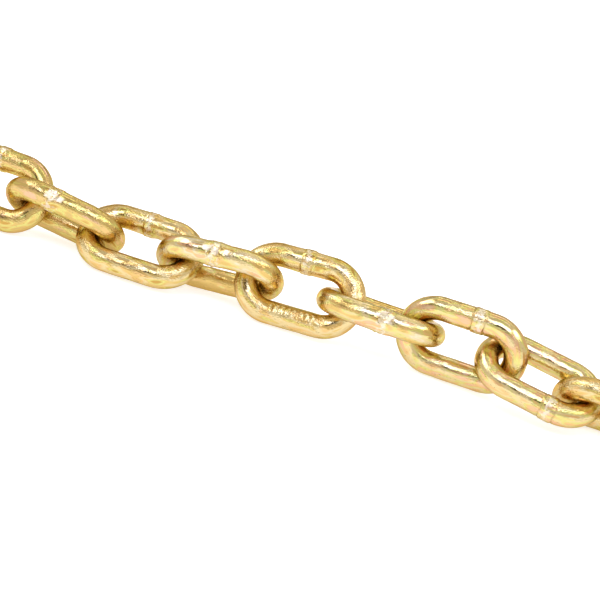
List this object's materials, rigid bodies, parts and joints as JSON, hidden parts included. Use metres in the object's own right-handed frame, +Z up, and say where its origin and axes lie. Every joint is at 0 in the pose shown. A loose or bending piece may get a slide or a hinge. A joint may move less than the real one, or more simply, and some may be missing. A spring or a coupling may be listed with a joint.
{
  "type": "welded link chain",
  "caption": "Straight run of short welded oval steel links with a yellow zinc finish, hooked one through the next, lying on a floor.",
  "frame": {"origin": "on the floor, under the middle of the run's box", "axes": "+X along the run towards its right end, +Y away from the viewer, +Z up"},
  "size_m": [0.3344, 0.0365, 0.0357],
  "materials": {
    "yellow_zinc": "bright zinc plate with a pale yellow chromate, lightly scratched and pitted, darker in the hooks"
  },
  "bodies": {
    "link_1": {"link_1": "yellow_zinc"},
    "link_2": {"link_2": "yellow_zinc"},
    "link_3": {"link_3": "yellow_zinc"},
    "link_4": {"link_4": "yellow_zinc"},
    "link_5": {"link_5": "yellow_zinc"},
    "link_6": {"link_6": "yellow_zinc"},
    "link_7": {"link_7": "yellow_zinc"},
    "link_8": {"link_8": "yellow_zinc"},
    "link_9": {"link_9": "yellow_zinc"}
  },
  "joints": [
    {"name": "link_5_to_6", "type": "hinge", "parent": "link_5", "child": "link_6", "pos_m": [0.02528, 0.00105, 0.01739], "axis": [-0.0042, 0.2419, 0.9703], "range_deg": [-40, 40]},
    {"name": "link_6_to_7", "type": "hinge", "parent": "link_6", "child": "link_7", "pos_m": [0.06033, 0.00071, 0.01763], "axis": [-0.0511, -0.9981, -0.0349], "range_deg": [-40, 40]},
    {"name": "link_7_to_8", "type": "hinge", "parent": "link_7", "child": "link_8", "pos_m": [0.09467, -0.00102, 0.01678], "axis": [0.0907, -0.4041, 0.9102], "range_deg": [-40, 40]},
    {"name": "link_8_to_9", "type": "hinge", "parent": "link_8", "child": "link_9", "pos_m": [0.12877, -0.00087, 0.01344], "axis": [0.024, -0.6879, -0.7254], "range_deg": [-40, 40]},
    {"name": "link_5_to_4", "type": "hinge", "parent": "link_5", "child": "link_4", "pos_m": [-0.02353, -0.00122, 0.01582], "axis": [-0.0744, 0.6997, 0.7105], "range_deg": [-40, 40]},
    {"name": "link_4_to_3", "type": "hinge", "parent": "link_4", "child": "link_3", "pos_m": [-0.0587, -0.0023, 0.0132], "axis": [-0.0164, -0.5737, 0.8189], "range_deg": [-40, 40]},
    {"name": "link_3_to_2", "type": "hinge", "parent": "link_3", "child": "link_2", "pos_m": [-0.0938, -0.00147, 0.01308], "axis": [0.0709, 0.6457, 0.7603], "range_deg": [-40, 40]},
    {"name": "link_2_to_1", "type": "hinge", "parent": "link_2", "child": "link_1", "pos_m": [-0.1288, -0.00118, 0.0161], "axis": [-0.0506, -0.8896, 0.454], "range_deg": [-40, 40]}
  ]
}
